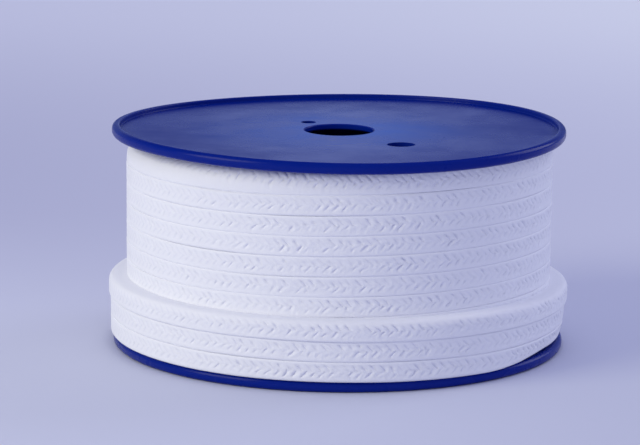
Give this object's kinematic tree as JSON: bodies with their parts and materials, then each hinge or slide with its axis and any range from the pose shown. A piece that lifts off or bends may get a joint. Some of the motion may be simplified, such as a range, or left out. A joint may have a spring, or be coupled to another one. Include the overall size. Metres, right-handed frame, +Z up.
{
  "type": "reel of braided gland packing",
  "caption": "Square braided gland packing cord wound in layers on a blue moulded plastic reel, standing on its lower flange.",
  "frame": {"origin": "centre of the circle that the lower flange's rim stands on", "axes": "+Z up along the reel's axis, -Y to the front as in the picture, +X to the right"},
  "size_m": [0.2388, 0.2388, 0.115],
  "materials": {
    "reel_plastic": "glossy moulded royal blue",
    "braided_packing": "white braided yarn with a slight sheen"
  },
  "bodies": {
    "root": {"lower_reel_half": "reel_plastic", "upper_reel_half": "reel_plastic", "packing_winding": "braided_packing"}
  },
  "joints": []
}
